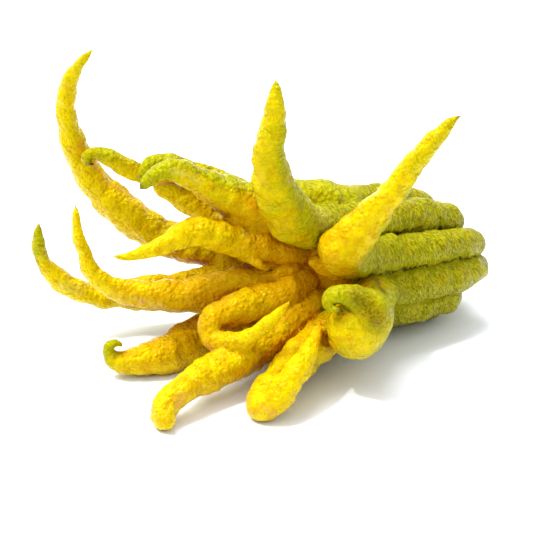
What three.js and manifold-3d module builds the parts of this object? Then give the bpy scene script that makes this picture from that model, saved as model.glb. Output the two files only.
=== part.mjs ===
// Buddha's hand citron, one fruit as picked, lying on its side.
// Ribs run from the stem end (+X) along the body to the mouth, and part there into fingers (-X).
// Millimetres, +Z up, origin on the surface under the middle of the fruit's box.
import * as THREE from "three";
import { mergeVertices } from "three/addons/utils/BufferGeometryUtils.js";
import Module from "manifold-3d";

const wasm = await Module();
wasm.setup();

// ---- driving dimensions ----

const STEM = new THREE.Vector3(104, 60, 26); // middle of the stem end
const MOUTH = new THREE.Vector3(29, 20, 45); // middle of the mouth, where the ribs part
const CENTRE = new THREE.Vector3(0.8, 1.5, 0); // the point of this layout that becomes the origin

// The ribs from the stem end to the mouth:
// [share of the way, distance from the body's axis, radius of the rib].
const RIB_PROFILE = [
  [0, 16.5, 7.5],
  [0.17, 22.5, 8.5],
  [0.42, 26.5, 9.2],
  [0.75, 27.5, 10],
];
const RIB_END = 0.05; // least share of the way from a rib's round end to the next profile point
const TWIST = 20; // degrees that the ribs turn round the body from the stem end to the mouth
const TWIST_ZERO = 0.75; // share of the way at which a rib is at its own angle

// The flesh inside the ribs: [share of the way, radius].
const CORE_PROFILE = [
  [0.09, 9],
  [0.17, 16],
  [0.4, 25],
  [0.75, 26],
  [0.95, 20],
  [1.02, 11],
];

const FINE_STEPS = 40; // points looked at between two points of a route
const STEP = 9; // longest band of faces along a finger
const STEP_SHARE = 1.5; // on thin stretches a band is at most this many radii long
const STEP_TURN = 22; // degrees that a finger may bend within one band
const SHORTEST_STEP = 1.6;
const THINNEST = 0.4; // least radius of a tube
const END_RING = { back: 0.65, radius: 0.72 }; // a tube's round end, in shares of its radius
const END_POINT = 0.95;
const THICK_SIDES = 10; // faces round a finger
const THIN_SIDES = 7; // faces round a thin finger
const THIN_RADIUS = 6; // a finger whose root is below this is thin
const SWELLING = 0.03; // height of the swellings along a finger, as a share of its radius
const WAVES = { short: 0.5, long: 0.23, flats: 0.12 }; // radians that each turns by per millimetre
const LONG_SHARE = 0.6; // height of the long swellings beside the short ones
const FLATS = 3; // shallow flats round a finger
const FLATS_SHARE = 0.8;
const PHASE_STEP = 1.7; // shifts the swellings from one finger to the next
const SLIVER = 0.04; // faces thinner than this, left where tubes cross, are merged
const CREASE_ROOM = 0.92; // share of a bend's own radius that its inner side may fill
const STRAIGHT = 1e-6; // a bend below this, per millimetre, is none
const WELD = 1e-4; // points nearer than this are one
const CUT_SIZE = 1000; // edge of the block that flattens the fruit where it lies

// The woody button left on the fruit by the cut stalk: [radius, height above the skin].
const BUTTON_PROFILE = [
  [0, -4],
  [3, -4],
  [5.6, -1.2],
  [6.6, 0.6],
  [5.8, 1.8],
  [3.8, 2.6],
  [3.1, 3.6],
  [2.9, 5.6],
  [2.4, 6.2],
  [0, 6.2],
];
const BUTTON_SIDES = 20;
const BUTTON_SINK = 1; // how far the button's seat lies inside the stem end
const BUTTON_GAP = 0.3;

// Fingers, as routes of [x, y, z, radius] from the mouth to the tip. rib is the rib that the finger
// carries on: its angle round the body, in degrees from its top towards -Y, the share of the way at
// which it starts with a round end, and how stout it is beside the profile. A finger without one
// grows inside the ring of ribs, from the middle of the mouth.
// split is the point at which a finger that doubles back on itself is made as two lengths.
const FINGERS = [
  { name: "broad_claw", rib: { degrees: -10, start: 0.32 }, route: [
    [36, 24, 71, 11.5], [25, 21, 75, 12], [13, 17, 75, 12], [0, 14, 76, 11], [-11, 13, 80, 10],
    [-20, 11, 85, 9], [-28, 8, 91, 7.5], [-35, 5, 96, 6.5], [-42, 2, 101, 5.5], [-48, 0, 102, 4.5],
    [-53, -2, 100, 4], [-57, -3, 96, 2.5], [-59, -3, 94, 1],
  ] },
  { name: "upright_horn", rib: { degrees: 25, start: 0.22 }, route: [
    [18, 0, 73, 11.5], [11, -3, 84, 11.5], [6, -6, 95, 10.5], [4, -8, 106, 9], [3, -9, 115, 8],
    [4, -9, 123, 7], [5.8, -8, 133, 5.7], [6.4, -7, 142, 4.2], [6.4, -6, 147, 2.8], [6.5, -5, 151, 0.5],
  ] },
  { name: "leaning_horn", rib: { degrees: 64, start: 0.085, stout: 0.96 }, route: [
    [39, -14, 65, 12], [48, -18, 79, 9.5], [54.3, -20, 89.3, 8], [63.6, -21, 102.3, 6.1],
    [71.6, -21, 115, 5.5], [77.6, -21, 123.2, 5], [83.6, -20, 129.5, 4], [88.6, -19, 135.3, 2.6],
    [93, -18, 138.5, 0.5],
  ] },
  { name: "curled_knob", rib: { degrees: 101, start: 0.055, stout: 1.1 }, split: 3, route: [
    [52, -14, 36, 12], [47, -26, 33, 13.5], [46, -34, 34, 15], [52, -38, 41, 11.5], [52, -39, 47, 9],
    [47, -39, 51.5, 7.2], [40.5, -39, 54, 5.4], [34.5, -39.5, 54.5, 4.4], [31.5, -41, 52.5, 3.4],
    [32, -43, 50, 2.4], [36, -45, 49.5, 1.2], [39, -46, 48.5, 0.6],
  ] },
  { name: "folded_finger", rib: { degrees: 136, start: 0.235, stout: 1.1 }, split: 3, route: [
    [34, -16, 22, 10], [19.5, -32, 17, 9.5], [7.5, -47, 11, 8.8], [0, -58, 7.5, 7.8],
    [1.5, -64, 6.5, 7], [9, -63, 14, 7], [17, -54, 22, 6.2], [23.5, -42, 28, 4.4], [27, -34, 32, 2.7],
    [28, -30, 35, 0.5],
  ] },
  { name: "floor_finger", rib: { degrees: 165, start: 0.25 }, route: [
    [22, 0, 26, 10.5], [10, -12, 20, 10], [-2, -23, 17, 10], [-14, -35.5, 16, 9.5],
    [-27, -47, 14.5, 8.5], [-36.5, -58, 14, 7], [-45, -66, 10, 6.5], [-48, -71.5, 6, 6],
    [-45, -75, 6, 4], [-42, -77, 17, 1],
  ] },
  { name: "hooked_foot", rib: { degrees: 194, start: 0.12 }, route: [
    [-1, 8, 13, 10], [-16, 6, 13, 10], [-26, 2, 12, 10], [-36, -5, 10, 10.5], [-46, -14, 8, 10],
    [-56, -19.5, 8.3, 8.2], [-64, -22, 8.5, 6.5], [-71, -22.5, 8.5, 5.5], [-76, -23, 14, 3.5],
    [-75, -23, 18, 2.5], [-71, -23, 19, 1.5], [-67, -23, 15, 0.5],
  ] },
  { name: "outer_sickle", rib: { degrees: 226, start: 0.1 }, route: [
    [0, 30, 8, 8.5], [-18, 30, 12, 7.5], [-35, 29, 16, 7], [-47, 27, 17, 6.5], [-60, 25, 18, 6],
    [-73, 23, 20, 5.5], [-84, 21, 22, 5.5], [-93, 20, 26, 5.5], [-100, 19, 30, 5.5], [-106, 18, 37, 5],
    [-110, 17, 44, 4], [-112, 16, 51, 3.5], [-112, 16, 57, 3], [-112, 16, 62, 2], [-111, 16, 66, 0.5],
  ] },
  { name: "short_finger", rib: { degrees: 258, start: 0.14 }, route: [
    [0, 30, 31, 6.5], [-17, 28, 32, 6.5], [-32, 25, 30, 6], [-47, 22, 29, 5], [-60, 20, 30, 4.5],
    [-68, 19, 30, 3],
  ] },
  { name: "long_sickle", rib: { degrees: 289, start: 0.09 }, route: [
    [-12, 38, 39, 9], [-30, 41, 39, 9], [-41, 43, 41, 9.5], [-51, 44, 45, 9], [-63, 46, 51, 9.5],
    [-74, 47, 61, 9.4], [-84, 48, 71, 8.2], [-91, 48, 85, 7.3], [-96, 47, 97, 6.5], [-98, 46, 108, 5.5],
    [-98, 45, 119, 5], [-96, 44, 130, 4.5], [-92, 42, 138, 3], [-87, 40, 145, 2], [-82, 38, 150, 0.5],
  ] },
  { name: "small_hook", rib: { degrees: 320, start: 0.18 }, route: [
    [-14, 40, 64, 7], [-32, 41, 71, 6], [-47, 41, 77, 5.5], [-61, 40, 82, 5], [-70, 38, 87, 5],
    [-76, 36, 92, 4.5], [-81, 35, 95, 3.5], [-85, 34, 96, 3], [-88, 33, 95, 2.5], [-88, 32, 92, 2],
    [-84, 31, 91, 0.5],
  ] },
  { name: "back_claw", route: [
    [-11, 32, 75, 7], [-29, 30, 85, 6], [-39, 28, 90, 5.5], [-46, 26, 94, 5], [-53, 23, 96, 4],
    [-57, 21, 94, 3.5], [-59, 19, 92, 2.5], [-61, 18, 89, 1],
  ] },
  { name: "under_claw", route: [
    [3, 20, 54, 8.5], [-12, 23, 61, 7.5], [-25, 25, 66, 7], [-33, 26, 71, 7], [-40, 26, 75, 6],
    [-46, 25, 79, 5], [-51, 24, 81, 3.5], [-54, 24, 82, 1],
  ] },
  { name: "bent_finger", route: [
    [14, 12, 53, 9], [4, 9, 56, 8.5], [-6, 6, 58, 8], [-16, 2, 63, 7.5], [-24, -2, 68, 7.5],
    [-31, -6, 72, 7], [-37, -10, 73.5, 6.7], [-42, -14, 72, 5.5], [-47, -16, 70, 4.8],
    [-54, -18, 68, 3.8], [-62, -20, 66, 2.8], [-68, -21, 65.5, 1.8], [-73, -22, 66.5, 0.5],
  ] },
  { name: "inner_sickle", route: [
    [14, 8, 43, 7], [3, 6, 41, 8], [-11, 3, 39, 8.3], [-29, 0, 35.5, 8.3], [-40, -2, 34.5, 7.8],
    [-51, -4, 36, 7.5], [-62, -5, 37, 6.5], [-72, -6, 40, 6], [-79, -7, 45, 5], [-84.5, -7, 51, 4.5],
    [-87.3, -7, 61, 3.7], [-89.4, -7, 68, 3.3], [-90.4, -6, 74, 2.8], [-90.8, -5, 80, 2.1],
    [-90.6, -4, 86, 0.5],
  ] },
  { name: "looped_finger", split: 5, route: [
    [14, 0, 36, 8.5], [0, -8, 34, 8.5], [-11, -15, 34, 8.5], [-18, -20, 34, 7.5], [-24, -24, 34, 6.5],
    [-26, -28, 30, 5.5], [-25, -31, 26, 5], [-18, -34, 26, 5], [-11, -36, 27, 5], [-3, -38, 33, 4],
    [5, -40, 42, 3], [11, -41, 49, 1.5], [15, -41, 54, 0.5],
  ] },
  { name: "thin_sprout", route: [
    [-8, 2, 55, 2.6], [-4, -2, 53.5, 2.3], [0, -2.7, 50.8, 2], [3, -2.5, 49, 1.4], [5, -2, 48.3, 0.6],
  ] },
  { name: "mouth_bud", route: [
    [38, -3, 51, 7], [32, -6, 54, 6], [28, -8, 56, 4.5], [25, -9.5, 57, 2.8], [22.5, -10.5, 57, 0.8],
  ] },
];

// ---- the body's own axes ----

const AXIS = new THREE.Vector3().subVectors(MOUTH, STEM);
const ALONG = AXIS.clone().normalize();
const UP = new THREE.Vector3(0, 0, 1);
const SIDE = new THREE.Vector3().crossVectors(UP, ALONG).normalize(); // level, towards -Y
const TOP = new THREE.Vector3().crossVectors(ALONG, SIDE);

// A point round the body: its share of the way to the mouth, distance from the axis and angle.
function bodyPoint(share, distance, degrees) {
  const angle = THREE.MathUtils.degToRad(degrees + TWIST * (share - TWIST_ZERO));
  return STEM.clone()
    .addScaledVector(AXIS, share)
    .addScaledVector(TOP, distance * Math.cos(angle))
    .addScaledVector(SIDE, distance * Math.sin(angle));
}

// The profile's distance and radius at a share of the way, in straight lines between its points.
function profileAt(share) {
  const next = RIB_PROFILE.findIndex(([at]) => at >= share);
  if (next < 1) return RIB_PROFILE.at(next).slice(1);
  const [from, to] = [RIB_PROFILE[next - 1], RIB_PROFILE[next]];
  const weight = (share - from[0]) / (to[0] - from[0]);
  return [1, 2].map((k) => THREE.MathUtils.lerp(from[k], to[k], weight));
}

// The route of a rib from its round end to the mouth.
function ribRoute({ degrees, start, stout = 1 }) {
  const shares = RIB_PROFILE.map(([share]) => share).filter((share) => share > start + RIB_END);
  return [start, ...shares].map((share) => {
    const [distance, radius] = profileAt(share);
    return [...bodyPoint(share, distance, degrees).toArray(), radius * stout];
  });
}

// ---- tubes ----

// Whether a band of faces from one sample has to end at the other.
function bandIsFull(from, to) {
  const length = to.travelled - from.travelled;
  const turn = THREE.MathUtils.radToDeg(from.direction.angleTo(to.direction));
  if (length < SHORTEST_STEP) return false;
  return turn > STEP_TURN || length >= Math.min(STEP, to.radius * STEP_SHARE);
}

// Points every few millimetres along a route, each with the tube's radius and direction there.
function sampleRoute(route) {
  const middle = new THREE.CatmullRomCurve3(
    route.map(([x, y, z]) => new THREE.Vector3(x, y, z)),
    false,
    "centripetal",
  );
  const thickness = new THREE.SplineCurve(
    route.map(([, , , radius], i) => new THREE.Vector2(i, radius)),
  );
  const fine = FINE_STEPS * (route.length - 1);
  const samples = [];
  let travelled = 0;
  let last = null;
  for (let i = 0; i <= fine; i++) {
    const t = i / fine;
    const point = middle.getPoint(t);
    const radius = Math.max(thickness.getPoint(t).y, THINNEST);
    if (last) travelled += point.distanceTo(last.point);
    last = { point, radius, travelled, direction: middle.getTangent(t), t };
    const before = samples.at(-1);
    if (!before || bandIsFull(before, last)) samples.push(last);
  }
  if (last.travelled - samples.at(-1).travelled < SHORTEST_STEP / 2) samples.pop();
  samples.push(last);
  return samples;
}

// Swellings and shallow flats of the skin, as a factor on the radius.
function swelling(travelled, angle, phase) {
  const short = Math.sin(travelled * WAVES.short + phase);
  const long = Math.sin(travelled * WAVES.long + 2 * phase);
  const around = Math.sin(FLATS * angle + travelled * WAVES.flats + phase);
  return 1 + SWELLING * (short + LONG_SHARE * long + FLATS_SHARE * around);
}

// How strongly and which way the route bends at each sample, as direction change per millimetre.
function bendAt(samples, i) {
  const a = samples[Math.max(i - 1, 0)];
  const b = samples[Math.min(i + 1, samples.length - 1)];
  return b.direction
    .clone()
    .sub(a.direction)
    .divideScalar(b.travelled - a.travelled);
}

// The ring and the point that round off a tube beyond its first or last sample.
function endBeyond(sample, sign) {
  const { point, direction, radius } = sample;
  const beyond = (share) => point.clone().addScaledVector(direction, sign * share * radius);
  const ring = { ...sample, point: beyond(END_RING.back), radius: END_RING.radius * radius };
  return { ring, point: beyond(END_POINT) };
}

// A closed lumpy tube through the samples of a route, rounded off at each end. On the inner side of
// a tight bend the skin stops short of the bend's middle, as a crease.
function tube(middle, sides, phase) {
  const first = endBeyond(middle[0], -1);
  const last = endBeyond(middle.at(-1), 1);
  const samples = [first.ring, ...middle, last.ring];
  const positions = [];
  const faces = [];
  const addPoint = (p) => positions.push(p.x, p.y, p.z);
  let across = new THREE.Vector3().crossVectors(samples[0].direction, UP).normalize();
  addPoint(first.point);
  samples.forEach((sample, i) => {
    across = across.clone().addScaledVector(sample.direction, -across.dot(sample.direction)).normalize();
    const over = new THREE.Vector3().crossVectors(sample.direction, across);
    const bend = bendAt(middle, THREE.MathUtils.clamp(i - 1, 0, middle.length - 1));
    for (let k = 0; k < sides; k++) {
      const angle = (2 * Math.PI * (k + (i % 2) / 2)) / sides;
      const out = across.clone().multiplyScalar(Math.cos(angle)).addScaledVector(over, Math.sin(angle));
      const inward = Math.max(bend.dot(out), STRAIGHT);
      const reach = sample.radius * swelling(sample.travelled, angle, phase);
      addPoint(sample.point.clone().addScaledVector(out, Math.min(reach, CREASE_ROOM / inward)));
    }
  });
  addPoint(last.point);
  const bands = samples.length - 1;
  const ring = (i, k) => 1 + i * sides + (((k % sides) + sides) % sides);
  for (let k = 0; k < sides; k++) {
    faces.push(0, ring(0, k + 1), ring(0, k));
    for (let i = 0; i < bands; i++) {
      const lean = i % 2; // odd rings are turned by half a side
      faces.push(ring(i, k), ring(i, k + 1), ring(i + 1, k + lean));
      faces.push(ring(i, k + 1), ring(i + 1, k + 1 + lean), ring(i + 1, k + lean));
    }
    faces.push(positions.length / 3 - 1, ring(bands, k), ring(bands, k + 1));
  }
  return toSolid(positions, faces);
}

// ---- solids ----

function toSolid(positions, faces) {
  const mesh = new wasm.Mesh({
    numProp: 3,
    vertProperties: new Float32Array(positions),
    triVerts: new Uint32Array(faces),
  });
  return new wasm.Manifold(mesh);
}

function solidOf(geometry) {
  geometry.deleteAttribute("normal");
  geometry.deleteAttribute("uv");
  const merged = mergeVertices(geometry, WELD);
  return toSolid(merged.attributes.position.array, merged.index.array);
}

function geometryOf(solid) {
  const mesh = solid.getMesh();
  const geometry = new THREE.BufferGeometry();
  geometry.setAttribute("position", new THREE.BufferAttribute(mesh.vertProperties, 3));
  geometry.setIndex(new THREE.BufferAttribute(mesh.triVerts, 1));
  geometry.computeVertexNormals();
  return geometry;
}

// The outer skin alone: hollows sealed between the joined tubes are filled.
function filled(solid) {
  return solid.decompose().sort((a, b) => b.volume() - a.volume())[0];
}

// A lathe turned about the body's axis, standing out of the stem end.
function atStemEnd(profile) {
  const turned = new THREE.LatheGeometry(
    profile.map(([radius, height]) => new THREE.Vector2(radius, height)),
    BUTTON_SIDES,
  );
  const outward = ALONG.clone().negate();
  const foot = STEM.clone().addScaledVector(outward, -BUTTON_SINK);
  turned.applyQuaternion(new THREE.Quaternion().setFromUnitVectors(new THREE.Vector3(0, 1, 0), outward));
  turned.translate(foot.x, foot.y, foot.z);
  return turned;
}

// Where the button sits: its own shape with a gap all round, open outward.
function buttonSeat() {
  const widest = BUTTON_PROFILE.findIndex(([radius], i, all) => i > 0 && all[i + 1][0] < radius);
  const seat = BUTTON_PROFILE.slice(0, widest + 1).map(([radius, height]) => [
    radius ? radius + BUTTON_GAP : 0,
    height - BUTTON_GAP,
  ]);
  const mouthRadius = seat.at(-1)[0];
  const mouthHeight = BUTTON_PROFILE.at(-1)[1] + STEP;
  return solidOf(atStemEnd([...seat, [mouthRadius, mouthHeight], [0, mouthHeight]]));
}

// Everything below the surface that the fruit lies on.
function underSurface() {
  return solidOf(new THREE.BoxGeometry(CUT_SIZE, CUT_SIZE, CUT_SIZE).translate(0, 0, -CUT_SIZE / 2));
}

// The tubes of one finger, with the rib that it carries on.
function fingerTubes({ rib, split, route }, index) {
  const [, , , rootRadius] = route[0];
  const start = rib ? ribRoute(rib) : [[...MOUTH.toArray(), rootRadius]];
  const sides = rootRadius < THIN_RADIUS ? THIN_SIDES : THICK_SIDES;
  const phase = PHASE_STEP * index;
  const samples = sampleRoute([...start, ...route]);
  if (split === undefined) return [tube(samples, sides, phase)];
  const share = (start.length + split) / (start.length + route.length - 1);
  const cut = samples.findIndex(({ t }) => t >= share);
  return [tube(samples.slice(0, cut + 1), sides, phase), tube(samples.slice(cut), sides, phase)];
}

function core() {
  const route = CORE_PROFILE.map(([share, radius]) => [...bodyPoint(share, 0, 0).toArray(), radius]);
  return tube(sampleRoute(route), THICK_SIDES, 0);
}

function fruitSolid() {
  const joined = FINGERS.flatMap(fingerTubes).reduce((all, one) => all.add(one), core());
  return filled(joined.subtract(buttonSeat()).subtract(underSurface()).simplify(SLIVER));
}

function centred(geometry) {
  return geometry.translate(-CENTRE.x, -CENTRE.y, -CENTRE.z);
}

// ---- the fruit ----

const fruit = new THREE.Mesh(
  centred(geometryOf(fruitSolid())),
  new THREE.MeshStandardMaterial({ color: 0xe6c81c, roughness: 0.45, metalness: 0 }),
);
fruit.name = "fruit";

const button = new THREE.Mesh(
  centred(atStemEnd(BUTTON_PROFILE)),
  new THREE.MeshStandardMaterial({ color: 0x6f6a34, roughness: 0.85, metalness: 0 }),
);
button.name = "stalk_button";

const citron = new THREE.Group();
citron.name = "buddhas_hand_citron";
citron.add(fruit, button);

export default citron;
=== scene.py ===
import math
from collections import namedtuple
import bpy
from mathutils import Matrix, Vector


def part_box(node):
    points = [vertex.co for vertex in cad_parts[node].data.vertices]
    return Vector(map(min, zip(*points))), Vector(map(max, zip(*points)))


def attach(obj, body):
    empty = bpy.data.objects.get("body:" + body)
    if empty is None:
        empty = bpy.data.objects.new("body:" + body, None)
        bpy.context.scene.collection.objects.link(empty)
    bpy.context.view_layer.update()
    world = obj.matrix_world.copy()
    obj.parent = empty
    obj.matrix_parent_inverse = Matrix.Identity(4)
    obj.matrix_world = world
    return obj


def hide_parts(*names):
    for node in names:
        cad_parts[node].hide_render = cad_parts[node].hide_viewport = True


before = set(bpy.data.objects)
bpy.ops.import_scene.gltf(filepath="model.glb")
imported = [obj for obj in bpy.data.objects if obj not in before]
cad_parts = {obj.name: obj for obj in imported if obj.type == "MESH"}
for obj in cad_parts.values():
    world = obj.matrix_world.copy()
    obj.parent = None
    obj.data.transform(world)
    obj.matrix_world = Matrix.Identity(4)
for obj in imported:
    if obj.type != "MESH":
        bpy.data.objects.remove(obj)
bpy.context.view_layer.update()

# A Buddha's hand citron as picked, lying on its side on a pale floor.
# Lengths are millimetres until a mesh is made; Blender gets metres.
from types import SimpleNamespace

import bpy
import numpy as np
import openvdb
from mathutils import Vector, noise

MM = 0.001

# ---- the fruit's driving dimensions, as in the CAD model ----

STEM = np.array((104.0, 60.0, 26.0))  # middle of the stem end
MOUTH = np.array((29.0, 20.0, 45.0))  # middle of the mouth, where the ribs part
CENTRE = np.array((0.8, 1.5, 0.0))  # the point of this layout that becomes the origin

# The ribs from the stem end to the mouth: share of the way, distance from the body's axis, radius.
RIB_PROFILE = ((0, 16.5, 7.5), (0.17, 22.5, 8.5), (0.42, 26.5, 9.2), (0.75, 27.5, 10))
RIB_END = 0.05  # least share of the way from a rib's round end to the next point of its profile
TWIST = 20  # degrees that the ribs turn round the body from the stem end to the mouth
TWIST_ZERO = 0.75  # share of the way at which a rib is at its own angle

# The flesh inside the ribs: share of the way, radius.
CORE_PROFILE = ((0.09, 9), (0.17, 16), (0.4, 25), (0.75, 26), (0.95, 20), (1.02, 11))
CORE_MOUTH = 3  # the point of the flesh at which the peel turns from green to yellow

# How green a finger is: on its inner side, on its back, and near its tip, as far as reach from the tip.
# dry is how brown the tip's end is.
Tone = namedtuple("Tone", "inner back tip dry reach", defaults=(30,))
CORE_TONE = Tone(0.0, 0.0, 0.0, 0.0)

# A rib's angle round the body, from its top towards -Y, the share of the way at which it starts with a
# round end, and how stout it is beside the profile.
Rib = namedtuple("Rib", "degrees start stout", defaults=(1,))

# A finger's route runs from the mouth to its tip as x, y, z and radius. It carries on its rib, and one
# without grows inside the ring of ribs.
Finger = namedtuple("Finger", "name rib tone route")


def finger(name, rib, tone, *route):
    """A finger from plain numbers: its rib if it has one, its tone and the points of its route."""
    return Finger(name, rib and Rib(*rib), Tone(*tone), route)


FINGERS = (
    finger(
        "broad_claw", (-10, 0.32), (0.25, 0.95, 0.9, 0.8),
        (36, 24, 71, 11.5), (25, 21, 75, 12), (13, 17, 75, 12), (0, 14, 76, 11), (-11, 13, 80, 10),
        (-20, 11, 85, 9), (-28, 8, 91, 7.5), (-35, 5, 96, 6.5), (-42, 2, 101, 5.5), (-48, 0, 102, 4.5),
        (-53, -2, 100, 4), (-57, -3, 96, 2.5), (-59, -3, 94, 1),
    ),
    finger(
        "upright_horn", (25, 0.22), (0.42, 0.95, 0.5, 0.3, 30),
        (18, 0, 73, 11.5), (11, -3, 84, 11.5), (6, -6, 95, 10.5), (4, -8, 106, 9), (3, -9, 115, 8),
        (4, -9, 123, 7), (5.8, -8, 133, 5.7), (6.4, -7, 142, 4.2), (6.4, -6, 147, 2.8),
        (6.5, -5, 151, 0.5),
    ),
    finger(
        "leaning_horn", (64, 0.085, 0.96), (0.14, 0.75, 0.48, 0.5, 62),
        (39, -14, 65, 12), (48, -18, 79, 9.5), (54.3, -20, 89.3, 8), (63.6, -21, 102.3, 6.1),
        (71.6, -21, 115, 5.5), (77.6, -21, 123.2, 5), (83.6, -20, 129.5, 4), (88.6, -19, 135.3, 2.6),
        (93, -18, 138.5, 0.5),
    ),
    finger(
        "curled_knob", (101, 0.055, 1.1), (0.35, 0.75, 1.0, 1.0, 52),
        (52, -14, 36, 12), (47, -26, 33, 13.5), (46, -34, 34, 15), (52, -38, 41, 11.5),
        (52, -39, 47, 9), (47, -39, 51.5, 7.2), (40.5, -39, 54, 5.4), (34.5, -39.5, 54.5, 4.4),
        (31.5, -41, 52.5, 3.4), (32, -43, 50, 2.4), (36, -45, 49.5, 1.2), (39, -46, 48.5, 0.6),
    ),
    finger(
        "folded_finger", (136, 0.235, 1.1), (0.08, 0.3, 0.0, 0.1),
        (34, -16, 22, 10), (19.5, -32, 17, 9.5), (7.5, -47, 11, 8.8), (0, -58, 7.5, 7.8),
        (1.5, -64, 6.5, 7), (9, -63, 14, 7), (17, -54, 22, 6.2), (23.5, -42, 28, 4.4),
        (27, -34, 32, 2.7), (28, -30, 35, 0.5),
    ),
    finger(
        "floor_finger", (165, 0.25), (0.02, 0.2, 0.0, 0.1),
        (22, 0, 26, 10.5), (10, -12, 20, 10), (-2, -23, 17, 10), (-14, -35.5, 16, 9.5),
        (-27, -47, 14.5, 8.5), (-36.5, -58, 14, 7), (-45, -66, 10, 6.5), (-48, -71.5, 6, 6),
        (-45, -75, 6, 4), (-42, -77, 17, 1),
    ),
    finger(
        "hooked_foot", (194, 0.12), (0.05, 0.3, 0.9, 1.0),
        (-1, 8, 13, 10), (-16, 6, 13, 10), (-26, 2, 12, 10), (-36, -5, 10, 10.5), (-46, -14, 8, 10),
        (-56, -19.5, 8.3, 8.2), (-64, -22, 8.5, 6.5), (-71, -22.5, 8.5, 5.5), (-76, -23, 14, 3.5),
        (-75, -23, 18, 2.5), (-71, -23, 19, 1.5), (-67, -23, 15, 0.5),
    ),
    finger(
        "outer_sickle", (226, 0.1), (0.1, 0.75, 0.8, 0.5),
        (0, 30, 8, 8.5), (-18, 30, 12, 7.5), (-35, 29, 16, 7), (-47, 27, 17, 6.5), (-60, 25, 18, 6),
        (-73, 23, 20, 5.5), (-84, 21, 22, 5.5), (-93, 20, 26, 5.5), (-100, 19, 30, 5.5),
        (-106, 18, 37, 5), (-110, 17, 44, 4), (-112, 16, 51, 3.5), (-112, 16, 57, 3), (-112, 16, 62, 2),
        (-111, 16, 66, 0.5),
    ),
    finger(
        "short_finger", (258, 0.14), (0.05, 0.2, 0.1, 0.2),
        (0, 30, 31, 6.5), (-17, 28, 32, 6.5), (-32, 25, 30, 6), (-47, 22, 29, 5), (-60, 20, 30, 4.5),
        (-68, 19, 30, 3),
    ),
    finger(
        "long_sickle", (289, 0.09), (0.1, 0.6, 0.42, 0.1, 75),
        (-12, 38, 39, 9), (-30, 41, 39, 9), (-41, 43, 41, 9.5), (-51, 44, 45, 9), (-63, 46, 51, 9.5),
        (-74, 47, 61, 9.4), (-84, 48, 71, 8.2), (-91, 48, 85, 7.3), (-96, 47, 97, 6.5),
        (-98, 46, 108, 5.5), (-98, 45, 119, 5), (-96, 44, 130, 4.5), (-92, 42, 138, 3),
        (-87, 40, 145, 2), (-82, 38, 150, 0.5),
    ),
    finger(
        "small_hook", (320, 0.18), (0.35, 0.7, 0.8, 1.0),
        (-14, 40, 64, 7), (-32, 41, 71, 6), (-47, 41, 77, 5.5), (-61, 40, 82, 5), (-70, 38, 87, 5),
        (-76, 36, 92, 4.5), (-81, 35, 95, 3.5), (-85, 34, 96, 3), (-88, 33, 95, 2.5), (-88, 32, 92, 2),
        (-84, 31, 91, 0.5),
    ),
    finger(
        "back_claw", None, (0.4, 0.95, 0.95, 0.3),
        (-11, 32, 75, 7), (-29, 30, 85, 6), (-39, 28, 90, 5.5), (-46, 26, 94, 5), (-53, 23, 96, 4),
        (-57, 21, 94, 3.5), (-59, 19, 92, 2.5), (-61, 18, 89, 1),
    ),
    finger(
        "under_claw", None, (0.0, 0.25, 0.1, 0.2),
        (3, 20, 54, 8.5), (-12, 23, 61, 7.5), (-25, 25, 66, 7), (-33, 26, 71, 7), (-40, 26, 75, 6),
        (-46, 25, 79, 5), (-51, 24, 81, 3.5), (-54, 24, 82, 1),
    ),
    finger(
        "bent_finger", None, (0.05, 0.2, 0.35, 0.3),
        (14, 12, 53, 9), (4, 9, 56, 8.5), (-6, 6, 58, 8), (-16, 2, 63, 7.5), (-24, -2, 68, 7.5),
        (-31, -6, 72, 7), (-37, -10, 73.5, 6.7), (-42, -14, 72, 5.5), (-47, -16, 70, 4.8),
        (-54, -18, 68, 3.8), (-62, -20, 66, 2.8), (-68, -21, 65.5, 1.8), (-73, -22, 66.5, 0.5),
    ),
    finger(
        "inner_sickle", None, (0.0, 0.15, 0.0, 0.4),
        (14, 8, 43, 7), (3, 6, 41, 8), (-11, 3, 39, 8.3), (-29, 0, 35.5, 8.3), (-40, -2, 34.5, 7.8),
        (-51, -4, 36, 7.5), (-62, -5, 37, 6.5), (-72, -6, 40, 6), (-79, -7, 45, 5),
        (-84.5, -7, 51, 4.5), (-87.3, -7, 61, 3.7), (-89.4, -7, 68, 3.3), (-90.4, -6, 74, 2.8),
        (-90.8, -5, 80, 2.1), (-90.6, -4, 86, 0.5),
    ),
    finger(
        "looped_finger", None, (0.0, 0.1, 0.0, 0.2),
        (14, 0, 36, 8.5), (0, -8, 34, 8.5), (-11, -15, 34, 8.5), (-18, -20, 34, 7.5),
        (-24, -24, 34, 6.5), (-26, -28, 30, 5.5), (-25, -31, 26, 5), (-18, -34, 26, 5),
        (-11, -36, 27, 5), (-3, -38, 33, 4), (5, -40, 42, 3), (11, -41, 49, 1.5), (15, -41, 54, 0.5),
    ),
    finger(
        "thin_sprout", None, (0.2, 0.4, 0.2, 1.0),
        (-8, 2, 55, 2.6), (-4, -2, 53.5, 2.3), (0, -2.7, 50.8, 2), (3, -2.5, 49, 1.4),
        (5, -2, 48.3, 0.6),
    ),
    finger(
        "mouth_bud", None, (0.0, 0.0, 0.0, 0.2),
        (38, -3, 51, 7), (32, -6, 54, 6), (28, -8, 56, 4.5), (25, -9.5, 57, 2.8),
        (22.5, -10.5, 57, 0.8),
    ),
)
TONES = [*(one.tone for one in FINGERS), CORE_TONE]  # one for each tube

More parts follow.
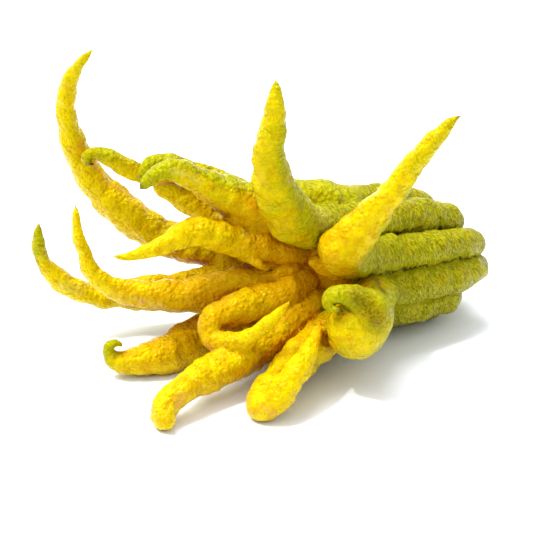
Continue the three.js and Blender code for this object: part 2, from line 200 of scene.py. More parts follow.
# The woody button left on the fruit by the cut stalk: radius, height above the skin.
BUTTON_PROFILE = (
    (0.1, -4), (3, -4), (5.6, -1.2), (6.6, 0.6), (5.8, 1.8),
    (3.8, 2.6), (3.1, 3.6), (2.9, 5.6), (2.4, 6.2), (0.1, 6.2),
)
BUTTON_SINK = 1  # how far inside the stem end that height starts
BUTTON_RINGS = 48
BUTTON_SIDES = 80
LOBES = 5
LOBE_DEPTH = 0.16  # share of the radius by which the calyx is lobed
LOBE_HEIGHT = 0.6  # height at which its lobes are deepest
LOBE_SPREAD = 1.5  # and how far above and below it they fade
ROUGH_SIZE = 1.6  # width of the lumps on the button's sides
ROUGH_HEIGHT = 0.2
CUT_EDGE = (-0.3, -0.05)  # heights from the stump's top at which its cut face starts and is whole

# ---- the skin's mesh ----

GRID = 1.28  # pitch of the grid that the skin is drawn on
REACH = 6.0  # how far off its surface a tube is measured on that grid
BAND = 3.0  # how many cells off the skin the distances are kept for drawing it
STEP = 0.6  # spacing of the balls that sweep a tube
FINE_STEPS = 60  # samples between two points of a route, from which that spacing is measured
THINNEST = 0.75  # least radius of a tube, so that the grid doesn't lose its tip
OPEN_GRID = 3.0  # pitch of the coarse grid that tells how open the space in front of the skin is
OPEN_REACH = 16.0  # how far off its surface a tube is measured on that grid
OPEN_STRIDE = 4  # of the balls of a tube, one in so many is used there
OPEN_LOOKS = (4.0, 8.0, 13.0)  # how far in front of the skin that space is looked at
GROOVE_LOOKS = (1.5, 3.0)  # and how near, for the grooves
MARGIN = 5.0  # room round the fruit on both grids
NEAR = 3.0  # how far outside the box round a tube a corner is still looked up on it
LOOK_STRIDE = 4  # of its balls, one in so many is tried first
LOOK_BLOCK = 20000  # corners that are looked up at a time

SWELLING = 0.027  # height of the short swellings along a finger, as a share of its radius
SHORT_SWELL = 0.5  # radians that the short swellings turn in a millimetre
LONG_SWELL = 0.23  # and the long ones
LONG_SHARE = 0.6  # height of the long swellings beside the short ones
PHASE_STEP = 1.7  # radians by which the swellings of one finger are shifted from those of the last

# The lumps of the peel: how wide they are, and how far they stand out on a finger and on a rib.
Lump = namedtuple("Lump", "size finger rib")
KNOBS = Lump(6.5, 0.9, 0.9)
PEBBLES = Lump(3.4, 0.7, 0.6)
RINGS = Lump(4.5, 0.8, 0.7)
HILLS = Lump(11, 0.9, 1.2)
RING_SPAN = 14  # how far round a finger a ring runs
DOME_LEVEL = 0.7  # the part of a knob's height that lies below the smooth skin
FULL_RADIUS = 7  # radius from which a finger has lumps of full height
LEAST_LUMPS = 0.15  # share of that height which the thinnest tips have

CREASE = 0.7  # rounding where two fingers touch
RIB_CREASE = 0.6  # rounding in the grooves between the ribs
MOUTH_CREASE = 1.2  # rounding where fingers join in the mouth
MOUTH_SIZE = 20.0  # distance over which that rounding fades
BODY_END = 1.05  # share of the way to the mouth at which the ribs' rounding ends
BODY_FADE = 15  # and the length over which it fades
CREASE_SHARE = 0.3  # of its thickest radius is the most that a finger's joints are rounded
FOLDS = {"curled_knob": 4}  # the point of its route from which a finger lies rounded into itself
FOLD_CREASE = 3.0

GROOVE_DEPTH = 1.5  # how far the skin sinks in the grooves between the ribs
GROOVE_WIDTH = 1.0
SEAM_REACH = 4.0  # how far from a seam its distance is told
SEAM_STEPS = 3  # how many corners wide the band is where straightened places don't meet
SLANT = 0.45  # how much the fine wrinkles lean along a rib
INSIDE = 10  # how far past the mouth the root of a finger without a rib counts as lying
MOUTH_CREASED = (25, 45)  # how far from the mouth the creases between fingers start to fade and end
MOUTH_GROOVE = 0.7  # depth of those creases beside that of the grooves

# Where the peel changes, as lengths past the mouth, shares, or distances from a tip.
RIB_END_LOOK = (-25, 5)  # the wrinkled peel of a rib gives way to that of a finger
GREEN_END = (-22, 8)  # its green gives way to the finger's own colour
GREEN_WANDER = 10  # how far that border wanders
GREEN_LUMPS = 14  # and over what length
BACK_FACING = (-0.2, 0.9)  # how far outward the peel faces where a finger's back starts and is whole
TIP_FADE = (0.3, 1)  # share of a tone's reach at which the tip's colour starts to fade and ends
DRY_FROM = 0.5  # the tip is as dry as its tone says
DRY_TO = 2.5  # the dryness ends
DRY_MORE = 3  # how much further it ends on the driest tips

# A place that has more of something than the rest: its middle, how far that spreads and how strong it is.
Spot = namedtuple("Spot", "middle size strength", defaults=(1,))
# Flesh between fingers. Its strength is how much more their joints are rounded.
WEBS = (Spot((-4, 9, 66), 13, 6.0), Spot((-18, 9, 73), 9, 5.0), Spot((-2, 13, 50), 9, 4.0))
# Deeper yellow round the mouth, and painted shade that darkens the lowest fingers; then green.
WARM_AND_SHADE_SPOTS = (Spot(MOUTH, 48), Spot((-35, -10, 28), 42, 0.55), Spot((-22, -62, 10), 40, 0.35))
GREEN_SPOTS = (Spot((40, 22, 82), 20),)

# Marks on the peel: what they are, from where to where they run, how far they spread and how strong.
Mark = namedtuple("Mark", "kind start end size strength", defaults=(1,))
MARKS = (
    Mark("pale", (-23, 20, 69), (-8, 1, 67), 1.3),
    Mark("pale", (-76, -11, 41), (-50, -11, 34), 1.2),
    Mark("pale", (-102, 13, 32), (-92, 14, 29), 2.5),
    Mark("pale", (-44, -4, 104), (-30, 0, 96), 1.3),
    Mark("pale", (23, -1, 87), (31, -2, 78), 4.0),
    Mark("blush", (-38, -68, 15), (-40, -70, 12), 2.5),
    Mark("blush", (1, -71, 10), (5, -71, 7), 1.6),
    Mark("blush", (12, -13, 104), (12, -13, 103), 1.8),
    Mark("blush", (-61, -12, 37), (-58, -12, 36), 1.5),
    Mark("shade", (55, -11, 49), (59, -18, 44), 2.6),
    Mark("shade", (45, -45, 57), (56, -50, 45), 6.0),
    # painted shade deep in the mouth: it lowers how open the skin there counts
    Mark("mouth_shade", (19, 3, 48), (25, 0, 47), 5.0, 0.8),
)

# ---- the body's own axes ----

AXIS = MOUTH - STEM
LENGTH = np.linalg.norm(AXIS)
ALONG = AXIS / LENGTH
UP = np.array((0.0, 0.0, 1.0))
SIDE = np.cross(UP, ALONG) / np.linalg.norm(np.cross(UP, ALONG))  # level, towards -Y
TOP = np.cross(ALONG, SIDE)


def body_point(share, distance, degrees):
    """A point round the body: its share of the way to the mouth, distance from the axis and angle."""
    angle = math.radians(degrees + TWIST * (share - TWIST_ZERO))
    return STEM + share * AXIS + distance * (math.cos(angle) * TOP + math.sin(angle) * SIDE)


# ---- tubes ----


def spline(points, t):
    """Centripetal Catmull-Rom curve through the points. t counts spans."""
    ends = [2 * points[0] - points[1], *points, 2 * points[-1] - points[-2]]
    knots = np.array(ends)
    gaps = np.sqrt(np.linalg.norm(np.diff(knots, axis=0), axis=1))
    span = np.minimum(t.astype(int), len(points) - 2)
    x0, x1, x2, x3 = (knots[span + k] for k in range(4))
    g0, g1, g2 = (gaps[span + k][:, None] for k in range(3))
    start = ((x1 - x0) / g0 - (x2 - x0) / (g0 + g1) + (x2 - x1) / g1) * g1
    end = ((x2 - x1) / g1 - (x3 - x1) / (g1 + g2) + (x3 - x2) / g2) * g1
    w = (t - span)[:, None]
    square = -3 * x1 + 3 * x2 - 2 * start - end
    cube = 2 * x1 - 2 * x2 + start + end
    return x1 + w * (start + w * (square + w * cube))


def smooth_radii(radii, t):
    """Uniform Catmull-Rom values through the radii."""
    padded = np.array([radii[0], *radii, radii[-1]])
    span = np.minimum(t.astype(int), len(radii) - 2)
    r0, r1, r2, r3 = (padded[span + k] for k in range(4))
    start, end, w = (r2 - r0) / 2, (r3 - r1) / 2, t - span
    return r1 + w * (start + w * (3 * (r2 - r1) - 2 * start - end + w * (2 * (r1 - r2) + start + end)))


def path_lengths(points):
    """How far along a path each of its points is."""
    return np.concatenate(([0], np.cumsum(np.linalg.norm(np.diff(points, axis=0), axis=1))))


def swollen(travelled, phase):
    """What a finger's radius is multiplied by for its swellings."""
    short = np.sin(travelled * SHORT_SWELL + phase)
    long = np.sin(travelled * LONG_SWELL + 2 * phase)
    return 1 + SWELLING * (short + LONG_SHARE * long)


def carried(outward, directions):
    """The outward direction along a path: square to it, and turning as little as it can."""
    result = np.empty_like(directions)
    for i, direction in enumerate(directions):
        outward = outward - direction * (outward @ direction)
        outward = outward / np.linalg.norm(outward)
        result[i] = outward
    return result


class Tube:
    """Samples along a route: balls that sweep the tube, each with its axes along, over and across.

    outward is where over points at the start, phase shifts the swellings, and mouth is the number of the
    route's point that lies at the mouth.
    """

    def __init__(self, route, outward, phase, mouth):
        route = np.array(route, dtype=float)
        points, radii = route[:, :3], route[:, 3]
        t = np.linspace(0, len(points) - 1, FINE_STEPS * (len(points) - 1) + 1)
        travelled = path_lengths(spline(points, t))
        self.travelled = np.linspace(0, travelled[-1], int(travelled[-1] / STEP) + 2)
        t = np.interp(self.travelled, travelled, t)
        self.points = spline(points, t)
        self.radii = np.maximum(smooth_radii(radii, t), THINNEST) * swollen(self.travelled, phase)
        self.past_mouth = self.travelled - np.interp(mouth, t, self.travelled)
        self.left = self.travelled[-1] - self.travelled  # from each sample to the tip
        self.fold = None
        slopes = np.gradient(self.points, axis=0)
        self.along = slopes / np.linalg.norm(slopes, axis=1)[:, None]
        self.over = carried(outward, self.along)
        self.across = np.cross(self.over, self.along)

    def box(self, room):
        """The lowest and highest corners round the tube, with room to spare."""
        low = (self.points - self.radii[:, None]).min(axis=0) - room
        high = (self.points + self.radii[:, None]).max(axis=0) + room
        return low, high


def rib_route(rib):
    """The points and radii of a rib, from its round end to the mouth."""
    profile = np.array(RIB_PROFILE)
    shares = [rib.start, *(share for share in profile[:, 0] if share > rib.start + RIB_END)]
    distances = np.interp(shares, profile[:, 0], profile[:, 1])
    radii = np.interp(shares, profile[:, 0], profile[:, 2]) * rib.stout
    return [(*body_point(s, d, rib.degrees), r) for s, d, r in zip(shares, distances, radii)]


def finger_tube(one, index):
    """The tube of a finger with its rib, or with its root in the middle of the mouth."""
    if one.rib is None:
        start = [(*MOUTH, one.route[0][3])]
        outward = np.array(one.route[1][:3]) - MOUTH
        outward = outward - ALONG * (outward @ ALONG)
    else:
        start = rib_route(one.rib)
        outward = body_point(0, 1, one.rib.degrees) - STEM
    tube = Tube((*start, *one.route), outward, PHASE_STEP * index, len(start))
    if one.rib is None:
        tube.past_mouth = tube.travelled + INSIDE
    if one.name in FOLDS:
        away = np.linalg.norm(tube.points - one.route[FOLDS[one.name]][:3], axis=1)
        tube.fold = int(away.argmin())
    return tube


def core_tube():
    """The tube of the flesh inside the ribs."""
    route = [(*body_point(share, 0, 0), radius) for share, radius in CORE_PROFILE]
    return Tube(route, TOP, phase=0, mouth=CORE_MOUTH)


# ---- grids ----


def added(parts):
    """Values along the three axes of a grid, added up at each of its points."""
    x, y, z = parts
    return x[:, None, None] + y[None, :, None] + z[None, None, :]


def squares(axes, middle):
    """The squared distance of each point of a grid from a place."""
    return added((axis - m) ** 2 for axis, m in zip(axes, np.asarray(middle, dtype=np.float32)))


class Grid:
    """Distances in millimetres at the points of a regular grid."""

    def __init__(self, low, high, pitch):
        self.pitch = pitch
        self.axes = [np.arange(a, b + pitch, pitch, dtype=np.float32) for a, b in zip(low, high)]
        self.low = np.array([axis[0] for axis in self.axes])
        self.shape = tuple(len(axis) for axis in self.axes)

    def window(self, low, high):
        """The slices of the grid's points between two corners."""
        first = np.maximum(np.floor((low - self.low) / self.pitch).astype(int), 0)
        last = np.minimum(np.ceil((high - self.low) / self.pitch).astype(int) + 1, self.shape)
        return tuple(slice(a, b) for a, b in zip(first, last))

    def sweep(self, values, tube, reach, which=slice(None)):
        """Lowers the values to the distance from the tube, as far as reach from its surface."""
        for point, radius in zip(tube.points[which], tube.radii[which]):
            part = self.window(point - radius - reach, point + radius + reach)
            axes = [axis[s] for axis, s in zip(self.axes, part)]
            away = np.sqrt(squares(axes, point)) - np.float32(radius)
            np.minimum(values[part], away, out=values[part])

    def sample(self, values, points):
        """Values between the grid's points, by trilinear interpolation."""
        last = np.array(self.shape) - 1.001  # a little before the last point, to stay inside a cell
        place = np.clip((points - self.low) / self.pitch, 0, last)
        cell = place.astype(int)
        f = place - cell
        total = 0
        for corner in np.ndindex(2, 2, 2):
            weight = np.prod(np.where(corner, f, 1 - f), axis=1)
            total = total + weight * values[tuple((cell + corner).T)]
        return total


def join(values, other, rounding):
    """The union of two shapes, with the crease between them rounded."""
    near = np.maximum(rounding - np.abs(values - other), 0) / rounding
    return np.minimum(values, other) - near * near * rounding / 4


def creases(grid):
    """The rounding to use at each point of the grid."""
    deep = np.exp(-squares(grid.axes, MOUTH) / MOUTH_SIZE**2)
    travelled = added((axis - s) * a for axis, s, a in zip(grid.axes, STEM, ALONG))
    body = np.clip((LENGTH * BODY_END - travelled) / BODY_FADE, 0, 1)
    return (CREASE + (RIB_CREASE - CREASE) * body + (MOUTH_CREASE - CREASE) * deep).astype(np.float32)


def webs(grid):
    """The rounding that is added where flesh fills the gaps between fingers."""
    return sum(web.strength * np.exp(-squares(grid.axes, web.middle) / web.size**2) for web in WEBS)


def tube_field(grid, tube):
    """Distances from one tube. A fold is rounded where it lies against the rest."""
    field = np.full(grid.shape, REACH, dtype=np.float32)
    grid.sweep(field, tube, REACH, slice(None, tube.fold))
    if tube.fold:
        folded = np.full(grid.shape, REACH, dtype=np.float32)
        grid.sweep(folded, tube, REACH, slice(tube.fold, None))
        field = join(field, folded, FOLD_CREASE)
    return field


def skin_field(grid, tubes):
    """The fruit's distance field: every tube joined, and cut flat where it lies on the floor."""
    rounding, flesh = creases(grid), webs(grid)
    field = np.full(grid.shape, REACH, dtype=np.float32)
    for tube in tubes:
        part = grid.window(*tube.box(REACH))
        one = tube_field(grid, tube)
        most = CREASE_SHARE * tube.radii.max()
        field[part] = join(field[part], one[part], np.minimum(rounding[part], most) + flesh[part])
    return np.maximum(field, -grid.axes[2][None, None, :])


def wide_field(grid, tubes):
    """Distances from the fruit far from its skin, on a coarse grid."""
    field = np.full(grid.shape, OPEN_REACH, dtype=np.float32)
    for tube in tubes:
        grid.sweep(field, tube, OPEN_REACH, slice(None, None, OPEN_STRIDE))
    return field


def drawn(field, grid):
    """The corners and quads of the surface where the field is zero."""
    volume = openvdb.FloatGrid(BAND)
    volume.copyFromArray(np.clip(field / grid.pitch, -BAND, BAND))
    corners, _, quads = volume.convertToPolygons(0.0, 0.0)
    return corners.astype(float) * grid.pitch + grid.low, quads.astype(int)


def corner_normals(corners, quads):
    """The direction in which the skin faces at each corner."""
    one = corners[quads]
    face = np.cross(one[:, 2] - one[:, 0], one[:, 3] - one[:, 1])
    total = np.zeros_like(corners)
    for k in range(4):
        np.add.at(total, quads[:, k], face)
    least = 1e-9  # length that stands for none, where faces cancel each other out
    return total / np.maximum(np.linalg.norm(total, axis=1), least)[:, None]


# ---- where each point of the skin lies on its finger ----


class Place:
    """For each corner: its finger, its place along and round it, and its distance from a seam."""

    def __init__(self, corners, tubes):
        count = len(corners)
        self.owner = np.zeros(count, dtype=int)
        self.sample = np.zeros(count, dtype=int)
        self.local = np.zeros((count, 3))  # its place on the straightened finger: along, across and over
        gap = np.full(count, np.inf)
        second = np.full(count, np.inf)
        for number, tube in enumerate(tubes):
            low, high = tube.box(NEAR)
            near = np.flatnonzero(np.all((corners > low) & (corners < high), axis=1))
            index, away = nearest_sample(corners[near], tube)
            closer = away < gap[near]
            second[near] = np.minimum(second[near], np.where(closer, gap[near], away))
            chosen, index = near[closer], index[closer]
            gap[chosen] = away[closer]
            self.owner[chosen] = number
            self.sample[chosen] = index
            offset = corners[chosen] - tube.points[index]
            axes = (tube.along[index], tube.across[index], tube.over[index])
            self.local[chosen] = np.stack([np.sum(offset * axis, axis=1) for axis in axes], axis=1)
            self.local[chosen, 0] += tube.travelled[index]
        self.local[:, 0] += SLANT * self.local[:, 1]
        self.seam = np.minimum(second - gap, SEAM_REACH)

    def of(self, tubes, read):
        """A value that is read from each corner's own tube, at its own sample."""
        result = np.zeros(len(self.owner))
        for number, tube in enumerate(tubes):
            mine = self.owner == number
            result[mine] = read(tube)[self.sample[mine]]
        return result

    def tone(self, key):
        """One value of the tone of each corner's own finger."""
        return np.array([getattr(tone, key) for tone in TONES], dtype=float)[self.owner]


def nearest_sample(points, tube):
    """The sample of the tube whose ball is nearest to each point, and the distance to that ball."""
    coarse = np.arange(0, len(tube.points), LOOK_STRIDE)
    best = np.empty(len(points), dtype=int)
    for start in range(0, len(points), LOOK_BLOCK):
        block = slice(start, start + LOOK_BLOCK)
        away = np.linalg.norm(points[block, None] - tube.points[coarse], axis=2) - tube.radii[coarse]
        best[block] = coarse[away.argmin(axis=1)]
    around = best[:, None] + np.arange(-LOOK_STRIDE, LOOK_STRIDE + 1)
    around = np.clip(around, 0, len(tube.points) - 1)
    away = np.linalg.norm(points[:, None] - tube.points[around], axis=2) - tube.radii[around]
    pick = away.argmin(axis=1)
    rows = np.arange(len(points))
    return around[rows, pick], away[rows, pick]


def apart_from_seams(place, quads):
    """0 where two fingers meet, because their straightened places don't, to 1 a few corners away."""
    owners = place.owner[quads]
    mixed = np.any(owners != owners[:, :1], axis=1)
    value = np.ones(len(place.owner))
    value[quads[mixed].ravel()] = 0
    for _ in range(SEAM_STEPS):
        around = value[quads].mean(axis=1)
        total = np.bincount(quads.ravel(), np.repeat(around, 4), len(value))
        value = np.minimum(value, total / np.bincount(quads.ravel(), minlength=len(value)))
    return value


# ---- patterns on the skin ----

NOISE_SHIFT = (17.3, 5.9, 11.1)  # how far the pattern of a seed lies from that of the one before
# What makes a cell's place in domes() look random: how it turns an angle, and how that is scattered.
CELL_TURNS = np.array(((12.71, 26.95, 11.35), (31.17, 18.33, 27.19), (7.47, 24.61, 29.87)))
CELL_SCATTER = 4375.85


def noise_at(points, size, seed):
    """Smooth noise from -1 to 1, with lumps about size across."""
    shift = Vector([seed * part for part in NOISE_SHIFT])
    return np.array([noise.noise(Vector(p) / size + shift) for p in points])


def domes(points, size, seed):
    """Round knobs about size across with creases between them, from 0 to 1."""
    points = points / size
    cell = np.floor(points)
    nearest = np.full(len(points), np.inf)
    for step in np.ndindex(3, 3, 3):
        other = cell + step - 1.0
        middle = other + (np.sin(other @ CELL_TURNS + seed) * CELL_SCATTER) % 1.0
        nearest = np.minimum(nearest, np.sum((points - middle) ** 2, axis=1))
    return np.maximum(1 - nearest, 0)


def fade(value, low, high):
    """0 below low, 1 above high and smooth between."""
    t = np.clip((value - low) / (high - low), 0, 1)
    return t * t * (3 - 2 * t)


def spotted(corners, spots):
    """How much each corner has of some spots, from 0 to 1."""
    shares = []
    for spot in spots:
        away = np.linalg.norm(corners - spot.middle, axis=1) / spot.size
        shares.append(spot.strength * np.exp(-(away**2)))
    return np.max(shares, axis=0)


def marked(corners, kind):
    """1 on the marks of a kind, fading to 0 round them."""
    value = np.zeros(len(corners))
    for mark in MARKS:
        if mark.kind != kind:
            continue
        start, line = np.array(mark.start), np.subtract(mark.end, mark.start)
        share = np.clip((corners - start) @ line / (line @ line), 0, 1)
        away = np.linalg.norm(corners - start - share[:, None] * line, axis=1)
        value = np.maximum(value, mark.strength * np.exp(-((away / mark.size) ** 2)))
    return value


def openness(corners, normals, field, grid, looks):
    """0 deep in a crease to 1 in the open, from the room that is left in front of the skin."""
    total = 0
    for look in looks:
        room = grid.sample(field, corners + normals * look)
        total = total + np.clip(room / look, 0, 1)
    return total / len(looks)


def grooved(corners, place, rib):
    """How much each corner lies in a groove between ribs, or in a crease near the mouth."""
    near_mouth = 1 - fade(np.linalg.norm(corners - MOUTH, axis=1), *MOUTH_CREASED)
    return np.exp(-((place.seam / GROOVE_WIDTH) ** 2)) * np.maximum(rib, MOUTH_GROOVE * near_mouth)


def lumps(corners, place, tubes, rib, creased):
    """How far each corner stands out for the peel's knobs and grooves, in millimetres."""
    room = np.clip(place.of(tubes, lambda tube: tube.radii) / FULL_RADIUS, LEAST_LUMPS, 1)
    ringed = place.local * (1 / RINGS.size, 1 / RING_SPAN, 1 / RING_SPAN)
    kinds = (
        (KNOBS, domes(corners, KNOBS.size, seed=2) - DOME_LEVEL),
        (PEBBLES, domes(corners, PEBBLES.size, seed=3) - DOME_LEVEL),
        (RINGS, noise_at(ringed, 1, seed=4)),
        (HILLS, noise_at(corners, HILLS.size, seed=1)),
    )
    on_finger = sum(kind.finger * height for kind, height in kinds)
    on_rib = sum(kind.rib * height for kind, height in kinds)
    return room * (on_finger + (on_rib - on_finger) * rib) - GROOVE_DEPTH * creased


def green_share(corners, normals, place, tubes):
    """How green the peel is: the ribs, the backs of the fingers and some tips."""
    facing = np.zeros(len(corners))
    for number, tube in enumerate(tubes):
        mine = place.owner == number
        facing[mine] = np.sum(normals[mine] * tube.over[place.sample[mine]], axis=1)
    inner = place.tone("inner")
    tone = inner + (place.tone("back") - inner) * fade(facing, *BACK_FACING)
    left = place.of(tubes, lambda tube: tube.left)
    tone = tone + (place.tone("tip") - tone) * (1 - fade(left / place.tone("reach"), *TIP_FADE))
    tone = tone + (1 - tone) * spotted(corners, GREEN_SPOTS)
    past = place.of(tubes, lambda tube: tube.past_mouth)
    wander = GREEN_WANDER * noise_at(corners, GREEN_LUMPS, seed=5)
    return tone + (1 - tone) * (1 - fade(past + wander, *GREEN_END))


def dryness(place, tubes):
    """How dry and brown the end of a finger is, by what its tone says."""
    left = place.of(tubes, lambda tube: tube.left)
    amount = place.tone("dry")
    return amount * (1 - fade(left, DRY_FROM, DRY_TO + DRY_MORE * amount))


# ---- meshes ----


def mesh_object(name, corners, faces, attributes):
    """A smooth object from corners in millimetres, with values at its corners for the material."""
    mesh = bpy.data.meshes.new(name)
    mesh.from_pydata(((corners - CENTRE) * MM).tolist(), [], faces)
    for key, values in attributes.items():
        vector = values.ndim == 2
        layer = mesh.attributes.new(key, "FLOAT_VECTOR" if vector else "FLOAT", "POINT")
        layer.data.foreach_set("vector" if vector else "value", values.astype(np.float32).ravel())
    mesh.shade_smooth()
    mesh.update()
    piece = bpy.data.objects.new(name, mesh)
    bpy.context.collection.objects.link(piece)
    return piece


def make_button():
    """The calyx and the cut stalk, turned about the body's axis, with lobes to the calyx."""
    profile = np.array(BUTTON_PROFILE)
    lengths = path_lengths(profile)
    steps = np.linspace(0, lengths[-1], BUTTON_RINGS)
    radius, height = (np.interp(steps, lengths, column)[:, None] for column in profile.T)
    angle = np.linspace(0, 2 * math.pi, BUTTON_SIDES, endpoint=False)[None, :]
    lobed = np.cos(LOBES * angle) * np.exp(-(((height - LOBE_HEIGHT) / LOBE_SPREAD) ** 2))
    radius = (radius * (1 + LOBE_DEPTH * lobed))[..., None]
    height = (height + 0 * angle)[..., None]
    outward = np.cos(angle)[..., None] * TOP + np.sin(angle)[..., None] * SIDE
    corners = (STEM + BUTTON_SINK * ALONG + radius * outward - height * ALONG).reshape(-1, 3)
    rough = ROUGH_HEIGHT * noise_at(corners, ROUGH_SIZE, seed=7)[:, None]
    corners += rough * outward.repeat(BUTTON_RINGS, axis=0).reshape(-1, 3)
    rows = np.arange(BUTTON_RINGS - 1)[:, None] * BUTTON_SIDES
    here = rows + np.arange(BUTTON_SIDES)
    after = rows + (np.arange(BUTTON_SIDES) + 1) % BUTTON_SIDES
    quads = np.stack([here, after, after + BUTTON_SIDES, here + BUTTON_SIDES], axis=2)
    cut = fade(height.ravel() - profile[-1, 1], *CUT_EDGE)
    return mesh_object("calyx", corners, quads.reshape(-1, 4).tolist(), {"cut": cut})


def make_fruit():
    """The whole fruit's skin, with what its material needs to know at each corner."""
    tubes = [finger_tube(one, index) for index, one in enumerate(FINGERS)] + [core_tube()]
    low, high = (np.array(corner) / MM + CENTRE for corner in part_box("fruit"))
    grid = Grid(low - MARGIN, high + MARGIN, GRID)
    coarse = Grid(low - MARGIN, high + MARGIN, OPEN_GRID)
    field = skin_field(grid, tubes)
    corners, quads = drawn(field, grid)
    normals = corner_normals(corners, quads)
    place = Place(corners, tubes)
    opened = openness(corners, normals, wide_field(coarse, tubes), coarse, OPEN_LOOKS)
    rib = 1 - fade(place.of(tubes, lambda tube: tube.past_mouth), *RIB_END_LOOK)
    creased = grooved(corners, place, rib)
    attributes = {
        "peel": place.local,
        "whole": apart_from_seams(place, quads),
        # how open the skin is near and far: these drive painted shade in the grooves and hollows
        "groove": openness(corners, normals, field, grid, GROOVE_LOOKS),
        "open": opened * (1 - marked(corners, "mouth_shade")),
        "green": green_share(corners, normals, place, tubes),
        "dry": dryness(place, tubes),
        "rib": rib,
        # deeper yellow near the mouth, and painted shade on the lowest fingers
        "warm": spotted(corners, WARM_AND_SHADE_SPOTS),
        "creased": creased,
        "seam": place.seam,
        "marks": np.stack([marked(corners, kind) for kind in ("pale", "blush", "shade")], axis=1),
    }
    corners = corners + normals * lumps(corners, place, tubes, rib, creased)[:, None]
    corners[:, 2] = np.maximum(corners[:, 2], 0)
    return mesh_object("peel", corners, quads.tolist(), attributes)


# ---- materials ----


class Shader:
    """Builds a node material a line at a time. Wherever a value is asked for, a node's output does too."""

    def __init__(self, name):
        self.material = bpy.data.materials.new(name)
        self.material.use_nodes = True
        self.tree = self.material.node_tree
        self.surface = self.tree.nodes["Principled BSDF"]

    def put(self, socket, value):
        if isinstance(value, bpy.types.NodeSocket):
            self.tree.links.new(value, socket)
        else:
            socket.default_value = value

    def dress(self, values):
        """Fills sockets of the surface, told by their names."""
        for name, value in values.items():
            self.put(self.surface.inputs[name], value)

    def where(self):
        """The object's own coordinates, in metres."""
        return self.tree.nodes.new("ShaderNodeTexCoord").outputs["Object"]

    def read(self, name, output="Fac"):
        """The values that the mesh holds under a name."""
        node = self.tree.nodes.new("ShaderNodeAttribute")
        node.attribute_name = name
        return node.outputs[output]

    def math(self, operation, first, second):
        node = self.tree.nodes.new("ShaderNodeMath")
        node.operation = operation
        self.put(node.inputs[0], first)
        self.put(node.inputs[1], second)
        return node.outputs[0]

    def plus(self, first, second):
        return self.math("ADD", first, second)

    def minus(self, first, second):
        return self.math("SUBTRACT", first, second)

    def times(self, first, second):
        return self.math("MULTIPLY", first, second)

    def stretch(self, vector, scale):
        node = self.tree.nodes.new("ShaderNodeVectorMath")
        node.operation = "MULTIPLY"
        self.put(node.inputs[0], vector)
        node.inputs[1].default_value = scale
        return node.outputs[0]

    def split(self, vector):
        node = self.tree.nodes.new("ShaderNodeSeparateXYZ")
        self.put(node.inputs[0], vector)
        return tuple(node.outputs)

    def ramp(self, value, low, high, start=0.0, end=1.0):
        """start up to low, end from high on and smooth between."""
        node = self.tree.nodes.new("ShaderNodeMapRange")
        node.interpolation_type = "SMOOTHSTEP"
        for socket, number in zip(node.inputs, (value, low, high, start, end)):
            self.put(socket, number)
        return node.outputs[0]

    def noise(self, vector, size, detail=2.0, rough=0.5):
        """Smooth noise from 0 to 1, with lumps about size across."""
        node = self.tree.nodes.new("ShaderNodeTexNoise")
        self.put(node.inputs["Vector"], vector)
        node.inputs["Scale"].default_value = 1 / size
        node.inputs["Detail"].default_value = detail
        node.inputs["Roughness"].default_value = rough
        return node.outputs["Fac"]

    def cells(self, vector, size):
        """How far a point is from the middle of its cell. The cells are about size across."""
        node = self.tree.nodes.new("ShaderNodeTexVoronoi")
        self.put(node.inputs["Vector"], vector)
        node.inputs["Scale"].default_value = 1 / size
        return node.outputs["Distance"]

    def mix(self, share, first, second):
        """The first colour where the share is 0, the second where it is 1."""
        node = self.tree.nodes.new("ShaderNodeMix")
        node.data_type = "RGBA"
        self.put(node.inputs["Factor"], share)
        for socket, colour in zip(node.inputs[6:8], (first, second)):
            self.put(socket, colour if isinstance(colour, bpy.types.NodeSocket) else (*colour, 1))
        return node.outputs[2]

    def tinted(self, colour, *tints):
        """A colour under tints: by which value, from where to where on it, how strong, which colour."""
        for value, low, high, most, tint in tints:
            colour = self.mix(self.ramp(value, low, high, end=most), colour, tint)
        return colour

    def bump(self, height, depth_mm):
        node = self.tree.nodes.new("ShaderNodeBump")
        node.inputs["Distance"].default_value = depth_mm * MM
        self.put(node.inputs["Height"], height)
        self.put(self.surface.inputs["Normal"], node.outputs[0])


# Linear colours.
YELLOW = (0.535, 0.32, 0.0003)
LEMON = (0.65, 0.485, 0.0004)
AMBER = (0.56, 0.25, 0.0002)
# dark orange painted shade in the hollows, grooves and creases
HOLLOW_SHADE = (0.36, 0.095, 0.0004)
LIME = (0.37, 0.36, 0.0003)
OLIVE = (0.195, 0.17, 0.0003)
# dark green of the pits, also painted shade in the ribs' grooves
MOSS = (0.05, 0.04, 0.001)
UMBER = (0.12, 0.08, 0.001)
STRAW = (0.60, 0.53, 0.09)
BLUSH = (0.58, 0.24, 0.08)
BARK = (0.04, 0.013, 0.008)
STALK_DARK = (0.065, 0.056, 0.012)
STALK_PALE = (0.21, 0.19, 0.056)
STALK_CUT = (0.34, 0.27, 0.13)
FLOOR = (0.88, 0.91, 0.98)


